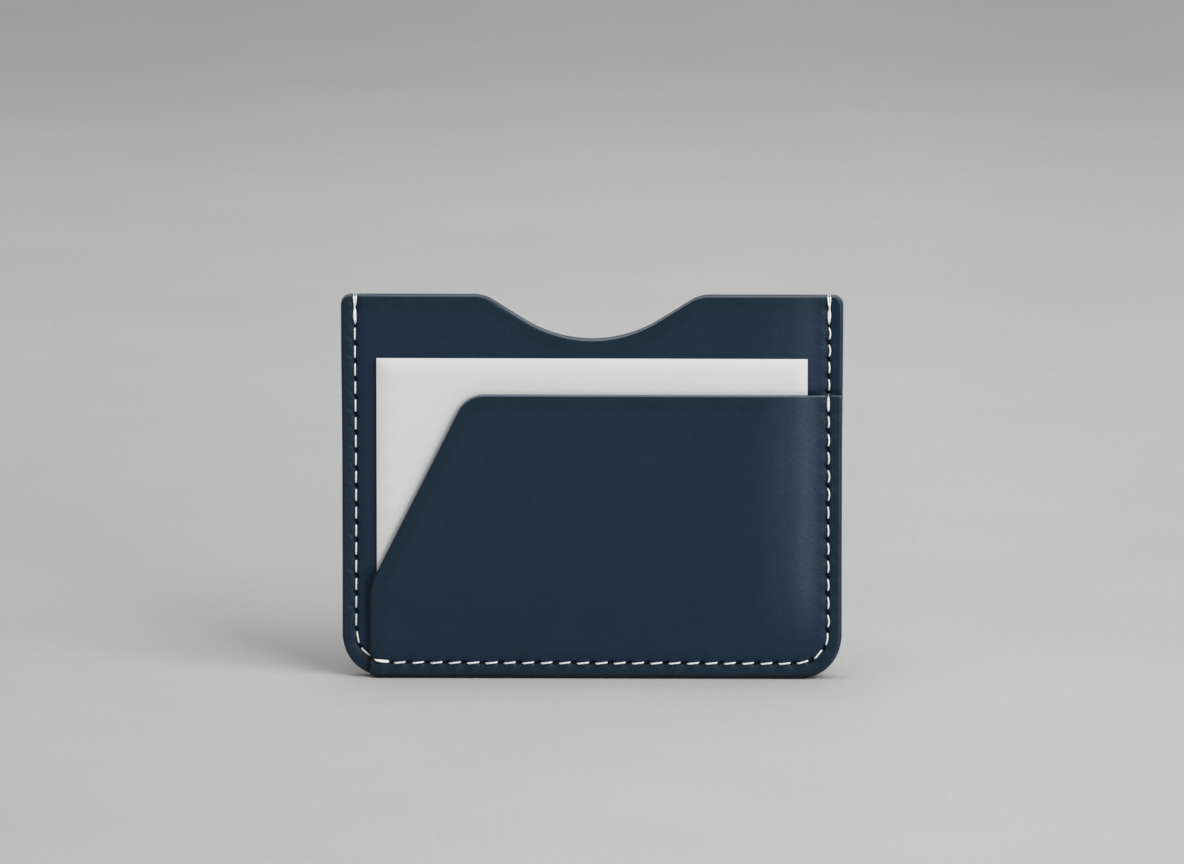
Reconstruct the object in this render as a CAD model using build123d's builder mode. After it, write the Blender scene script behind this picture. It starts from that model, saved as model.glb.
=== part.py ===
"""Card case: three laminated leather panels joined by one hand-sewn saddle-stitched seam.

The case stands on its bottom edge. X is its width, Z its height, and its front faces -Y.
Heights across the thickness are counted from the flat back of the case towards the front.
"""
from build123d import *
import math
import os

os.makedirs("parts", exist_ok=True)

# Business card, and the room that it has in the front pocket
card_width = 85.0
card_height = 55.0
card_thickness = 0.35
card_clearance = 0.1
card_side_clearance = 0.3
card_lift = 1.8

# Each panel is an outer leather with bevelled edges, bonded to a thin lining
leather = 1.1
lining = 0.4
edge_bevel = 0.3
main_pocket_ease = 0.35

# Case outline
case_height = 76.5
bottom_corner_radius = 8.5
top_corner_radius = 2.0

# Thumb notch: a shallow wave cut through both main panels
notch_depth = 8.8
notch_slope = 32.0
notch_shoulder_radius = 7.3
notch_bowl_radius = 25.0

# Front pocket: square at the right, with a slanted and an upright free edge at the left
pocket_height = 57.0
pocket_overlap = 1.1
pocket_slant = 26.7
pocket_slant_width = 18.8
pocket_corner_radius = 5.8
pocket_knee_radius = 11.0
pocket_lip_radius = 0.6

# Seam: its place, the flat strip inside it, and the slopes where the leather rises over a card
side_seam_margin = 2.8
bottom_seam_margin = 3.2
top_hole_drop = 2.3
seam_flat = 1.0
side_ramp = 2.9
bottom_ramp = 3.5
ramp_corner_radius = 1.6

# Stitches: a waxed thread in a groove, through slanted slits pricked in every layer
stitch_pitch = 3.625
thread_diameter = 0.44
strand_pitch = 0.56
hole_slant = 72.0
hole_clearance = 0.02
groove_clearance = 0.02
front_groove_depth = 0.22
tack_hole_gap = 0.6

# Worked out from the sizes above
half_width = card_width / 2 + card_side_clearance + side_ramp + seam_flat + side_seam_margin
seam_half_width = half_width - side_seam_margin
seam_radius = bottom_corner_radius - side_seam_margin
ply = leather + lining
pocket_ease = main_pocket_ease + card_thickness + 2 * card_clearance
case_depth = 3 * ply + pocket_ease
card_bottom = bottom_seam_margin + seam_flat + bottom_ramp + card_lift
rear_groove_depth = thread_diameter
slit_width = thread_diameter + 2 * hole_clearance
around = 2 * half_width

forwards = Plane.XZ.z_dir
backwards = -forwards


def level(height):
    """The sketch plane at a height above the back of the case, seen from the front."""
    return Plane.XZ.offset(height - case_depth / 2)


# ---------------------------------------------------------------- outlines
notch_apex_depth = notch_depth + notch_bowl_radius * (1 / math.cos(math.radians(notch_slope)) - 1)
notch_apex_half = notch_apex_depth / math.tan(math.radians(notch_slope))
pocket_left_x = -card_width / 2 - pocket_overlap
pocket_corner_x = pocket_left_x + pocket_slant_width
pocket_knee_z = pocket_height - pocket_slant_width / math.tan(math.radians(pocket_slant))

with BuildSketch() as main_outline:
    with BuildLine():
        FilletPolyline(
            (-half_width, 0),
            (half_width, 0),
            (half_width, case_height),
            (notch_apex_half, case_height),
            (0, case_height - notch_apex_depth),
            (-notch_apex_half, case_height),
            (-half_width, case_height),
            radius=[
                bottom_corner_radius,
                bottom_corner_radius,
                top_corner_radius,
                notch_shoulder_radius,
                notch_bowl_radius,
                notch_shoulder_radius,
                top_corner_radius,
            ],
            close=True,
        )
    make_face()

with BuildSketch() as pocket_outline:
    with BuildLine():
        FilletPolyline(
            (half_width, -bottom_corner_radius),
            (half_width, pocket_height),
            (pocket_corner_x, pocket_height),
            (pocket_left_x, pocket_knee_z),
            (pocket_left_x, -bottom_corner_radius),
            radius=[pocket_lip_radius, pocket_corner_radius, pocket_knee_radius],
        )
        Line((pocket_left_x, -bottom_corner_radius), (half_width, -bottom_corner_radius))
    make_face()
    add(main_outline.sketch, mode=Mode.INTERSECT)

# ---------------------------------------------------------------- seam line and needle holes
top_hole_z = case_height - top_hole_drop
side_run = top_hole_z - bottom_seam_margin - seam_radius
corner_run = seam_radius * math.pi / 2
bottom_run = 2 * (seam_half_width - seam_radius)
seam_length = 2 * side_run + 2 * corner_run + bottom_run

with BuildLine() as seam_line:
    FilletPolyline(
        (-seam_half_width, top_hole_z),
        (-seam_half_width, bottom_seam_margin),
        (seam_half_width, bottom_seam_margin),
        (seam_half_width, top_hole_z),
        radius=seam_radius,
    )
seam_wire = seam_line.wires()[0]


def seam_run_to_x(x):
    """Length along the seam, from its top left hole, to where it passes x near the bottom left corner."""
    reach = x + seam_half_width
    if reach >= seam_radius:
        return side_run + corner_run + reach - seam_radius
    return side_run + seam_radius * math.acos(1 - reach / seam_radius)


def evenly_spaced(start, end):
    """Hole places from start up to, but not including, end."""
    count = max(1, round((end - start) / stitch_pitch))
    return [start + (end - start) * i / count for i in range(count)]


# A hole stands just clear of the pocket's edge at each end of it, so that one stitch crosses the edge
left_tack_run = seam_run_to_x(pocket_left_x - tack_hole_gap)
right_tack_run = seam_length - (top_hole_z - pocket_height - tack_hole_gap)
left_runs = evenly_spaced(0, left_tack_run)
pocket_runs = evenly_spaced(left_tack_run, right_tack_run)
right_runs = evenly_spaced(right_tack_run, seam_length)
left_tack = len(left_runs)
right_tack = left_tack + len(pocket_runs)
last_hole = right_tack + len(right_runs)


class Hole:
    """One pricked slit: its centre on the seam line and the slanted direction that it is cut in."""

    def __init__(self, run):
        self.centre = seam_wire.position_at(run / seam_length)
        self.slit = seam_wire.tangent_at(run / seam_length).rotate(Axis.Z, -hole_slant)

    def strand(self, place):
        """Where a strand passes: 1 is the outer one, -1 the inner one, and 3 and -3 lie beside them."""
        return self.centre + self.slit * (place * strand_pitch / 2)


holes = [Hole(run) for run in left_runs + pocket_runs + right_runs + [seam_length]]

# Extra turns of thread lock the seam: two go round the top edge at each end of it, and one doubles
# the stitch that crosses each edge of the pocket. Each has its holes and its place beside the strands.
top_turns = {"left": [(0, -3), (1, 3)], "right": [(last_hole, 3), (last_hole - 1, -3)]}
edge_turns = {"lower": (left_tack, 3), "upper": (right_tack - 1, -3)}
extra_strands = {hole: place for turns in top_turns.values() for hole, place in turns}
for first, place in edge_turns.values():
    extra_strands[first] = place
    extra_strands[first + 1] = place


def between(start, end):
    """A place midway between two points, turned to run from the first to the second."""
    middle = (start + end) / 2
    run = end - start
    return Location((middle.X, middle.Y), math.degrees(math.atan2(run.Y, run.X)))


def slits(numbers):
    """The slits of some of the holes, each as long as the strands in it need."""
    with BuildSketch() as cut:
        for number in numbers:
            hole = holes[number]
            places = [-1, 1, extra_strands.get(number, 1)]
            inner = hole.strand(min(places))
            outer = hole.strand(max(places))
            with Locations(between(inner, outer)):
                Rectangle((outer - inner).length + slit_width, slit_width)
    return cut.sketch


all_slits = slits(range(last_hole + 1))
pocket_slits = slits(range(left_tack + 1, right_tack))

# The groove that the stitches lie in: as wide as the slits, with a track for each extra turn
slit_length = strand_pitch + slit_width
slit_reach = slit_length * math.sin(math.radians(hole_slant)) + slit_width * math.cos(math.radians(hole_slant))
groove_width = slit_reach + 2 * groove_clearance
track_width = thread_diameter + 2 * groove_clearance

with BuildSketch() as groove:
    with BuildLine():
        add(seam_line.line)
    trace(line_width=groove_width)
    for hole, following in zip(holes[:-1], holes[1:]):
        stitch_length = (following.centre - hole.centre).length
        if following.slit != hole.slit:
            with Locations(between(hole.centre, following.centre)):
                Rectangle(stitch_length + groove_width, groove_width)
    for hole, place in top_turns["left"] + top_turns["right"]:
        foot = holes[hole].strand(place)
        with Locations(between(foot, Vector(foot.X, case_height + track_width))):
            Rectangle(case_height + 2 * track_width - foot.Y, track_width)
    for first, place in edge_turns.values():
        start = holes[first].strand(place)
        end = holes[first + 1].strand(place)
        with Locations(between(start, end)):
            Rectangle((end - start).length + track_width, track_width)

with BuildSketch() as open_groove:
    add(groove.sketch)
    add(pocket_outline.sketch, mode=Mode.SUBTRACT)

with BuildSketch() as top_nicks:
    for hole, place in top_turns["left"] + top_turns["right"]:
        with Locations((holes[hole].strand(place).X, case_height)):
            Rectangle(track_width, 2 * thread_diameter)


# ---------------------------------------------------------------- formed leather
def open_topped(left, right, bottom, corner_radius):
    """An area under the panels' raised part: open at the top, with rounded bottom corners."""
    with BuildSketch() as area:
        with BuildLine():
            FilletPolyline(
                (left, case_height + around),
                (left, bottom),
                (right, bottom),
                (right, case_height + around),
                radius=corner_radius,
            )
            Line((right, case_height + around), (left, case_height + around))
        make_face()
    return area.sketch


def formed_block(height, rise, free_left=False):
    """What lies behind one face of a panel: flat along the seam, raised by rise where cards go.

    With free_left the face stays raised out to the left, as on the pocket, which isn't sewn there.
    """
    ramp_foot = seam_half_width - seam_flat
    ramp_top = ramp_foot - side_ramp
    foot_left = -around if free_left else -ramp_foot
    top_left = -around if free_left else -ramp_top
    foot_bottom = bottom_seam_margin + seam_flat
    with BuildPart() as block:
        with BuildSketch(level(-ply)):
            Rectangle(2 * around, 2 * (case_height + around))
        extrude(amount=ply + height)
        with BuildSketch(level(height)):
            add(open_topped(foot_left, ramp_foot, foot_bottom, seam_radius - seam_flat))
        with BuildSketch(level(height + rise)):
            add(open_topped(top_left, ramp_top, foot_bottom + bottom_ramp, ramp_corner_radius))
        loft(ruled=True)
    return block.part


def is_cut_edge(face):
    """Whether a face is part of a panel's cut edge, not of its front or back."""
    normal = face.normal_at()
    return abs(normal.Y) < abs(normal.X) + abs(normal.Z)


def arrises(panel, outwards):
    """The edges where a panel's outer face meets its cut edge."""
    cut_faces = panel.faces().filter_by(is_cut_edge)
    broad_faces = panel.faces().filter_by(lambda face: not is_cut_edge(face))
    outer_faces = broad_faces.filter_by(lambda face: face.normal_at().dot(outwards) > 0)
    return cut_faces.edges() & outer_faces.edges()


with BuildPart() as back_panel:
    with BuildSketch(level(0)):
        add(main_outline.sketch)
    extrude(amount=leather)
    chamfer(arrises(back_panel, backwards), edge_bevel)
    with BuildSketch(level(0)):
        add(all_slits)
        add(top_nicks.sketch)
    extrude(amount=leather, mode=Mode.SUBTRACT)
    with BuildSketch(level(0)):
        add(groove.sketch)
    extrude(amount=rear_groove_depth, mode=Mode.SUBTRACT)
back_panel.part.label = "back_panel"
export_step(back_panel.part, "parts/back_panel.step")

with BuildPart() as back_lining:
    with BuildSketch(level(leather)):
        add(main_outline.sketch)
    extrude(amount=lining)
    with BuildSketch(level(leather)):
        add(all_slits)
        add(top_nicks.sketch)
    extrude(amount=lining, mode=Mode.SUBTRACT)
back_lining.part.label = "back_lining"
export_step(back_lining.part, "parts/back_lining.step")

with BuildPart() as centre_lining:
    with BuildSketch(level(0)):
        add(main_outline.sketch)
    extrude(amount=case_depth)
    add(formed_block(ply + lining, main_pocket_ease), mode=Mode.INTERSECT)
    add(formed_block(ply, main_pocket_ease), mode=Mode.SUBTRACT)
    with BuildSketch(level(0)):
        add(all_slits)
        add(top_nicks.sketch)
    extrude(amount=case_depth, mode=Mode.SUBTRACT)
centre_lining.part.label = "centre_lining"
export_step(centre_lining.part, "parts/centre_lining.step")

with BuildPart() as centre_panel:
    with BuildSketch(level(0)):
        add(main_outline.sketch)
    extrude(amount=case_depth)
    add(formed_block(2 * ply, main_pocket_ease), mode=Mode.INTERSECT)
    add(formed_block(ply + lining, main_pocket_ease), mode=Mode.SUBTRACT)
    chamfer(arrises(centre_panel, forwards), edge_bevel)
    with BuildSketch(level(0)):
        add(all_slits)
        add(top_nicks.sketch)
    extrude(amount=case_depth, mode=Mode.SUBTRACT)
    with BuildSketch(level(2 * ply - front_groove_depth)):
        add(open_groove.sketch)
    extrude(amount=case_depth, mode=Mode.SUBTRACT)
centre_panel.part.label = "centre_panel"
export_step(centre_panel.part, "parts/centre_panel.step")

with BuildPart() as pocket_lining:
    with BuildSketch(level(0)):
        add(pocket_outline.sketch)
    extrude(amount=case_depth)
    add(formed_block(2 * ply + lining, pocket_ease, free_left=True), mode=Mode.INTERSECT)
    add(formed_block(2 * ply, pocket_ease, free_left=True), mode=Mode.SUBTRACT)
    with BuildSketch(level(0)):
        add(pocket_slits)
    extrude(amount=case_depth, mode=Mode.SUBTRACT)
pocket_lining.part.label = "pocket_lining"
export_step(pocket_lining.part, "parts/pocket_lining.step")

with BuildPart() as pocket_panel:
    with BuildSketch(level(0)):
        add(pocket_outline.sketch)
    extrude(amount=case_depth)
    add(formed_block(3 * ply, pocket_ease, free_left=True), mode=Mode.INTERSECT)
    add(formed_block(2 * ply + lining, pocket_ease, free_left=True), mode=Mode.SUBTRACT)
    chamfer(arrises(pocket_panel, forwards), edge_bevel)
    with BuildSketch(level(0)):
        add(pocket_slits)
    extrude(amount=case_depth, mode=Mode.SUBTRACT)
    with BuildSketch(level(3 * ply - front_groove_depth)):
        add(groove.sketch)
    extrude(amount=case_depth, mode=Mode.SUBTRACT)
pocket_panel.part.label = "pocket_panel"
export_step(pocket_panel.part, "parts/pocket_panel.step")

with BuildPart() as business_card:
    with BuildSketch(level(2 * ply + main_pocket_ease + card_clearance)):
        with Locations((0, card_bottom + card_height / 2)):
            Rectangle(card_width, card_height)
    extrude(amount=card_thickness)
business_card.part.label = "business_card"
export_step(business_card.part, "parts/business_card.step")


# ---------------------------------------------------------------- thread
def lies_on(hole):
    """How high a stitch that starts at a hole lies: on the pocket, or on the centre panel."""
    if left_tack <= hole < right_tack:
        surface = 3 * ply
    else:
        surface = 2 * ply
    return surface - front_groove_depth + thread_diameter / 2


def in_space(place, height):
    """A point over a place on the panels, at a height above the back."""
    return level(height).from_local_coords(Vector(place.X, place.Y))


def sewn_path(parity):
    """One strand's way through every hole, in front of the case and behind it by turns."""
    points = []
    behind = rear_groove_depth - thread_diameter / 2
    for number, hole in enumerate(holes):
        if (number + parity) % 2 == 0:
            points.append(in_space(hole.strand(1), behind))
            points.append(in_space(hole.strand(1), lies_on(number)))
        else:
            points.append(in_space(hole.strand(-1), lies_on(number - 1)))
            points.append(in_space(hole.strand(-1), behind))
    return points


def thread_section(points):
    """The plane across the thread where its path starts."""
    return Plane(origin=points[0], z_dir=points[1] - points[0])


with BuildPart() as first_strand:
    path = sewn_path(0)
    with BuildLine():
        Polyline(*path)
    with BuildSketch(thread_section(path)):
        RegularPolygon(radius=thread_diameter / 2, side_count=5)
    sweep(transition=Transition.RIGHT)
first_strand.part.label = "seam_thread_first_strand"
export_step(first_strand.part, "parts/seam_thread_first_strand.step")

with BuildPart() as second_strand:
    path = sewn_path(1)
    with BuildLine():
        Polyline(*path)
    with BuildSketch(thread_section(path)):
        RegularPolygon(radius=thread_diameter / 2, side_count=5)
    sweep(transition=Transition.RIGHT)
second_strand.part.label = "seam_thread_second_strand"
export_step(second_strand.part, "parts/seam_thread_second_strand.step")


def turn_of_thread(corners):
    """A closed turn of thread through the panels, by way of its four corners."""
    start = (corners[0] + corners[-1]) / 2
    loop = [start] + corners
    with BuildPart() as turn:
        with BuildLine():
            Polyline(*loop, close=True)
        with BuildSketch(thread_section(loop)):
            RegularPolygon(radius=thread_diameter / 2, side_count=5)
        sweep(transition=Transition.RIGHT)
    return turn.part


behind_case = rear_groove_depth - thread_diameter / 2

for side, turns in top_turns.items():
    with BuildPart() as top_loops:
        for number, place in turns:
            foot = holes[number].strand(place)
            top = Vector(foot.X, case_height - thread_diameter / 2)
            in_front = lies_on(number)
            add(
                turn_of_thread(
                    [
                        in_space(foot, behind_case),
                        in_space(foot, in_front),
                        in_space(top, in_front),
                        in_space(top, behind_case),
                    ]
                )
            )
    top_loops.part.label = f"top_edge_loops_{side}"
    export_step(top_loops.part, f"parts/top_edge_loops_{side}.step")

for end, (number, place) in edge_turns.items():
    with BuildPart() as pocket_tack:
        start = holes[number].strand(place)
        finish = holes[number + 1].strand(place)
        in_front = lies_on(number)
        add(
            turn_of_thread(
                [
                    in_space(start, behind_case),
                    in_space(start, in_front),
                    in_space(finish, in_front),
                    in_space(finish, behind_case),
                ]
            )
        )
    pocket_tack.part.label = f"pocket_tack_{end}"
    export_step(pocket_tack.part, f"parts/pocket_tack_{end}.step")
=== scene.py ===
"""A stitched leather card case: formed panels, linings, saddle stitching, a blank card and a plain studio.

X is the width of the case, Z its height, and its front faces -Y. Heights across the thickness are counted
from the flat back of the case towards the front, as a leather worker stacks the layers.
"""
import math

import bpy
import numpy as np
from bpy.props import FloatProperty, FloatVectorProperty, IntProperty, PointerProperty
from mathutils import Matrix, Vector
from mathutils.geometry import delaunay_2d_cdt


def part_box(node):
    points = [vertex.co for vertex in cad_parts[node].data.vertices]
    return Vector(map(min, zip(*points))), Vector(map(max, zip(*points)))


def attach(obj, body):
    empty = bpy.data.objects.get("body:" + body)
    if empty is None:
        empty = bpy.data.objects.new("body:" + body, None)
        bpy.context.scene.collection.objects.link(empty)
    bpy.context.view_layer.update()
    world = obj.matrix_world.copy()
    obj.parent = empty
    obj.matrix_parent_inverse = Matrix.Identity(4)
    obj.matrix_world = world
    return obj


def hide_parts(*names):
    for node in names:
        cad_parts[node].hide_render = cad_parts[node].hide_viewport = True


bl_info = {
    "name": "Stitched Leather Card Case",
    "version": (1, 0, 0),
    "blender": (4, 5, 0),
    "location": "View3D > Sidebar > Card Case",
    "description": "Makes a saddle-stitched leather card case with a card, and a plain studio for it",
    "category": "Add Mesh",
}

MM = 0.001

# How fine the flat blanks are: rings along the cut edge, ovals round each hole, and bands inside the seam.
PANEL_RINGS = [ring * MM for ring in (0.0, 0.016, 0.06, 0.13, 0.22, 0.32, 0.45)]
PANEL_STEP = 0.45 * MM
CARD_RINGS = [0.0, 0.02 * MM, 0.05 * MM]
CARD_STEP = 1.5 * MM
HOLE_RINGS = [ring * MM for ring in (0.15, 0.32, 0.50, 0.70)]
HOLE_CLEARANCE = 0.85 * MM
POINTS_ROUND_A_HOLE = 10
OVAL_WIDTH = 0.75
ROW_SPACING = 0.866
SEWN_BAND = 2.0 * MM
SLOPED_BAND = 8.0 * MM
SLACK_SIZE = 1 / 62

# The direction in which the leather puckers outside each hole: along the slit, and across it.
FOLD_OUT = 0.62
FOLD_ACROSS = 0.78

# The thread: points round it, steps along a stitch and along a turn, how much of it stands behind the case,
# and its thin and wide girths.
THREAD_SIDES = 8
STITCH_STEPS = 20
TURN_STEP = 0.14 * MM
REAR_LIFT = 0.42
THIN = 0.7
WIDE = 2.0

# The studio: where the lamps point, the camera's sensor in millimetres, and the width in view at the case.
LAMP_TARGET = (0.0, 0.0, 0.03)
SENSOR_WIDTH = 36.0
VIEW_WIDTH = 0.2335

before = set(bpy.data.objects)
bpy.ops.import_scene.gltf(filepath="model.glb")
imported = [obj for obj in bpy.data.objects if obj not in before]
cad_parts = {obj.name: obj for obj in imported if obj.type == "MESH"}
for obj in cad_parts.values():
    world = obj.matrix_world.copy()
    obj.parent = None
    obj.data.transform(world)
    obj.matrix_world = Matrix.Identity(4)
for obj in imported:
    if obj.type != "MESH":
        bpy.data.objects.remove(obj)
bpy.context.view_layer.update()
panel_low, panel_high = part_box("back_panel")
pocket_low, pocket_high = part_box("pocket_panel")
card_low, card_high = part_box("business_card")


# ------------------------------------------------------------------------------- sizes and colours
def length(name, description, default):
    """A length in metres."""
    return FloatProperty(name=name, description=description, default=default, unit="LENGTH", precision=5)


def angle(name, description, degrees):
    """An angle whose default is given in degrees."""
    return FloatProperty(name=name, description=description, default=math.radians(degrees), subtype="ANGLE")


def shown(name, description, default):
    """The share of a stitch that is in view."""
    return FloatProperty(
        name=name, description=description, default=default, min=0.3, max=0.95, subtype="FACTOR"
    )


def stitches(name, description, default):
    """A number of stitches."""
    return IntProperty(name=name, description=description, default=default, min=1)


def power(name, description, default):
    """A lamp's power."""
    return FloatProperty(name=name, description=description, default=default, unit="POWER")


def colour(name, description, *default):
    """A colour."""
    return FloatVectorProperty(name=name, description=description, subtype="COLOR", size=3, default=default)


class CaseSizes(bpy.types.PropertyGroup):
    """Sizes of the leather panels and their linings."""

    width: length("Width", "Width over both sewn sides", panel_high.x - panel_low.x)
    height: length("Height", "Height to the top edge", panel_high.z)
    depth: length("Depth", "Depth over the raised pocket", panel_high.y - pocket_low.y)
    leather: length("Leather", "Thickness of each outer leather", 1.1 * MM)
    lining: length("Lining", "Thickness of each lining", 0.4 * MM)
    bottom_corner: length("Bottom corners", "Radius of the bottom corners", 8.5 * MM)
    top_corner: length("Top corners", "Radius of the top corners", 2.0 * MM)
    edge_rounding: length("Edge rounding", "Radius of the burnished outer edges", 0.34 * MM)
    lining_rounding: length("Lining rounding", "Radius of the edges on the lining side", 0.14 * MM)
    notch_depth: length("Notch depth", "Depth of the thumb notch", 8.8 * MM)
    notch_slope: angle("Notch slope", "Slope of the notch's sides", 32)
    notch_shoulder: length("Notch shoulders", "Radius of the notch's shoulders", 7.3 * MM)
    notch_bowl: length("Notch bowl", "Radius of the notch's bottom", 25.0 * MM)
    main_pocket_ease: length("Main pocket ease", "Rise of the centre panel off the back panel", 0.35 * MM)
    draw_in: length("Draw-in", "How far the stitching has drawn each side in", 0.15 * MM)
    slackness: length("Slackness", "Height of the soft unevenness of the leather's faces", 0.05 * MM)


class PocketSizes(bpy.types.PropertyGroup):
    """Sizes of the front pocket."""

    height: length("Height", "Height of the pocket's mouth", pocket_high.z)
    left: length("Left edge", "Place of the pocket's free left edge", pocket_low.x - 0.4 * MM)
    slant: angle("Slant", "Slant of the cut edge from upright", 26.7)
    slant_width: length("Slant width", "Width taken by the slanted edge", 19.2 * MM)
    corner: length("Corner", "Radius where the mouth meets the slant", 5.8 * MM)
    knee: length("Knee", "Radius where the slant meets the upright edge", 11.0 * MM)
    lip: length("Lip", "Radius of the mouth's sewn corner", 0.6 * MM)


class SeamSizes(bpy.types.PropertyGroup):
    """Sizes of the saddle-stitched seam."""

    side_margin: length("Side margin", "From the side edges to the seam", 2.8 * MM)
    bottom_margin: length("Bottom margin", "From the bottom edge to the seam", 3.2 * MM)
    top_drop: length("Top drop", "From the top edge to the first hole", 2.3 * MM)
    upper_gap: length("Upper tack gap", "From the pocket's mouth up to the hole above it", 0.05 * MM)
    lower_inset: length("Lower tack inset", "From the pocket's left edge in to its first hole", 0.55 * MM)
    left_stitches: stitches("Left stitches", "Stitches from the top left to the pocket", 20)
    pocket_stitches: stitches("Pocket stitches", "Stitches along the pocket", 39)
    right_stitches: stitches("Right stitches", "Stitches from the pocket to the top right", 5)
    thread: length("Thread", "Diameter of the waxed thread", 0.37 * MM)
    side_show: shown("Side show", "Share of each stitch in view between its holes at the sides", 0.57)
    bottom_show: shown("Bottom show", "Share of each stitch in view between its holes at the bottom", 0.58)
    turn_show: shown("Turn show", "Share of each doubled stitch in view between its holes", 0.68)
    side_lean: length("Side lean", "How far a stitch leans across the seam at the sides", 0.07 * MM)
    bottom_lean: length("Bottom lean", "How far a stitch leans across the seam at the bottom", 0.30 * MM)
    slit_slant: angle("Slit slant", "Turn of each pricked slit from the seam's direction", 72)
    groove_depth: length("Groove depth", "Depth of the valley that the stitches press", 0.22 * MM)
    hole_depth: length("Hole depth", "Depth of each pricked hole", 0.55 * MM)


class Finishes(bpy.types.PropertyGroup):
    """Colours of the leather, edges, lining, thread, card and floor."""

    leather: colour("Leather", "Colour of the outer leather", 0.0060, 0.0226, 0.0472)
    edge: colour("Edge paint", "Colour of the painted edges", 0.0070, 0.0240, 0.0480)
    # Painted highlight: edges that face up take this paler colour, standing in for the top light that falls
    # on them.
    painted_edge_highlight: colour("Polished edge", "Paler colour of the edges that hands polish", 0.020, 0.052, 0.092)
    margin: colour("Margin", "Darker colour of the leather outside the seam", 0.0042, 0.0200, 0.0385)
    # Painted shadow: the centre panel takes this colour beside the pocket's free edge, beside the card and
    # just over the mouth.
    shaded: colour("Shaded leather", "Colour beside the pocket and the card", 0.0005, 0.0125, 0.0300)
    # Partly real, partly painted highlight: the slopes grow paler as stretched pull-up leather does, most at
    # the right where the light from the right falls, and the puckers and right-facing edges take this colour
    # as painted highlights.
    stretched: colour("Stretched leather", "Paler colour of the slopes", 0.028, 0.054, 0.090)
    lining: colour("Lining", "Colour of the linings", 0.008, 0.022, 0.042)
    thread: colour("Thread", "Colour of the thread", 0.93, 0.93, 0.91)
    card: colour("Card", "Colour of the card stock", 0.70, 0.70, 0.695)
    floor: colour("Floor", "Colour of the studio floor", 0.530, 0.530, 0.526)


class StudioSettings(bpy.types.PropertyGroup):
    """The camera and the lamps."""

    azimuth: angle("Azimuth", "Turn of the camera round the case", 0.8)
    elevation: angle("Elevation", "Height of the camera above level", 10.3)
    distance: length("Distance", "From the camera to the case", 2.75)
    aim: length("Aim", "Height that the camera is aimed at", 49.28 * MM)
    key_power: power("Key lamp", "Power of the large lamp high at the right", 17.4)
    side_power: power("Side lamp", "Power of the narrow lamp low at the right", 5.2)
    top_power: power("Top lamp", "Power of the wide lamp above", 13.0)
    sky: FloatProperty(name="Sky", description="Strength of the even light all round", default=0.34, min=0.0)


class CardCase(bpy.types.PropertyGroup):
    """All the settings of the card case."""

    case: PointerProperty(type=CaseSizes)
    pocket: PointerProperty(type=PocketSizes)
    seam: PointerProperty(type=SeamSizes)
    finish: PointerProperty(type=Finishes)
    studio: PointerProperty(type=StudioSettings)


# ------------------------------------------------------------------------------- nodes
def socket_of(sockets, key):
    """A socket in use, by its number, its identifier or its name."""
    in_use = [socket for socket in sockets if socket.enabled]
    if isinstance(key, int):
        return in_use[key]
    named = [socket for socket in in_use if socket.identifier == key]
    named += [socket for socket in in_use if socket.name == key]
    return named[0]


def arithmetic(operation, swapped=False):
    """A method that adds one Math node, with its values the other way round if they are swapped."""

    def method(self, *others):
        return self.math(operation, *((*others, self) if swapped else (self, *others)))

    return method


def both_ways(operation):
    """The method for an operator, and the one for its reflected form."""
    return arithmetic(operation), arithmetic(operation, swapped=True)


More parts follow.
